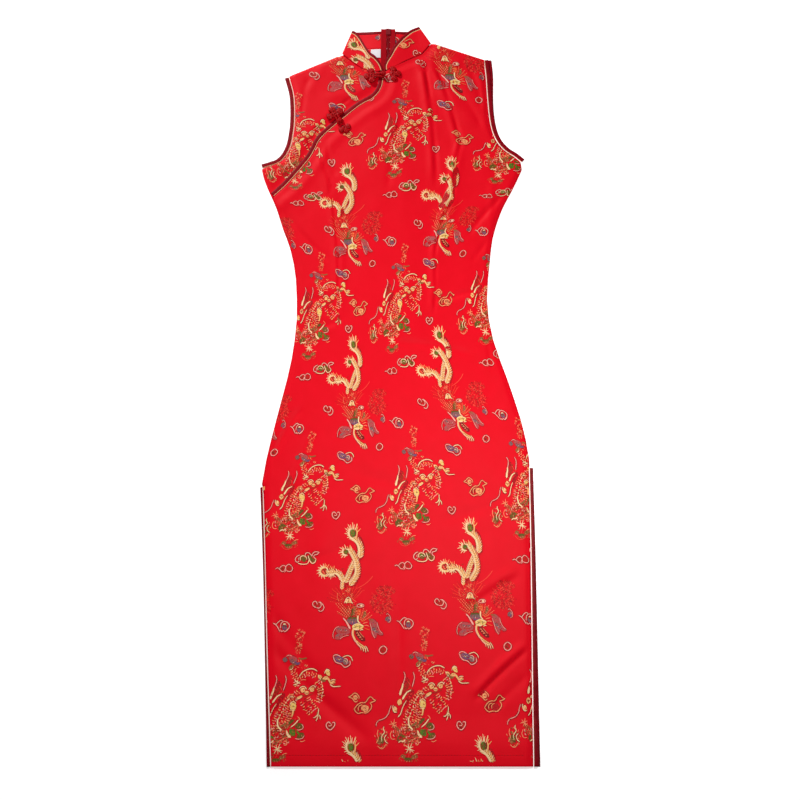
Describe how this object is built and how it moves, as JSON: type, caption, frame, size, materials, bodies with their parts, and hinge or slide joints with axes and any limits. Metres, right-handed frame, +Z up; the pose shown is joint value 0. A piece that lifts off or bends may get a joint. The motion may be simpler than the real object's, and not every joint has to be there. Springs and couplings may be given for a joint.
{
  "type": "cheongsam dress",
  "caption": "Long sleeveless side-slit dress laid flat, with an open stand collar, a slanting placket with frog fastenings, edge binding and a back zip.",
  "frame": {"origin": "middle of the footprint, on the surface that the dress lies on", "axes": "+Z up from the surface, +Y from the hem to the collar, +X to the viewer's right with the dress face up"},
  "size_m": [0.4408, 1.2225, 0.0165],
  "materials": {
    "brocade": "satin brocade, bright crimson",
    "binding": "satin bias binding, dark maroon",
    "piping": "pale gold satin cord",
    "zip_tape": "woven tape, dark crimson",
    "slider": "enamelled dark crimson",
    "label": "white satin ribbon, bare",
    "frog_cord": "satin-covered cord, dark crimson"
  },
  "bodies": {
    "dress": {"back_left": "brocade", "back_right": "brocade", "front": "brocade", "upper_front": "brocade", "collar_left": "brocade", "collar_right": "brocade", "binding_collar_left": "binding", "binding_collar_right": "binding", "binding_placket": "binding", "binding_armhole_front_left": "binding", "binding_armhole_front_right": "binding", "binding_armhole_back_left": "binding", "binding_armhole_back_right": "binding", "binding_slit_front_left": "binding", "binding_slit_front_right": "binding", "binding_slit_back_left": "binding", "binding_slit_back_right": "binding", "piping_collar_left": "piping", "piping_collar_right": "piping", "piping_placket": "piping", "piping_armhole_front_left": "piping", "piping_armhole_front_right": "piping", "piping_armhole_back_left": "piping", "piping_armhole_back_right": "piping", "piping_slit_front_left": "piping", "piping_slit_front_right": "piping", "piping_slit_back_left": "piping", "piping_slit_back_right": "piping", "zip_tape_left": "zip_tape", "zip_tape_right": "zip_tape", "zip_chain": "zip_tape", "zip_slider": "slider", "label": "label", "frog_neck_loop": "frog_cord", "frog_neck_end": "frog_cord", "frog_neck_knot": "frog_cord", "frog_placket_loop": "frog_cord", "frog_placket_end": "frog_cord", "frog_placket_knot": "frog_cord"},
    "pull": {"zip_pull": "slider"}
  },
  "joints": [
    {"name": "pull_hinge", "type": "hinge", "parent": "dress", "child": "pull", "pos_m": [-0.009, 0.5964, 0.0011], "axis": [1, 0, 0], "range_deg": [0, 150]}
  ]
}
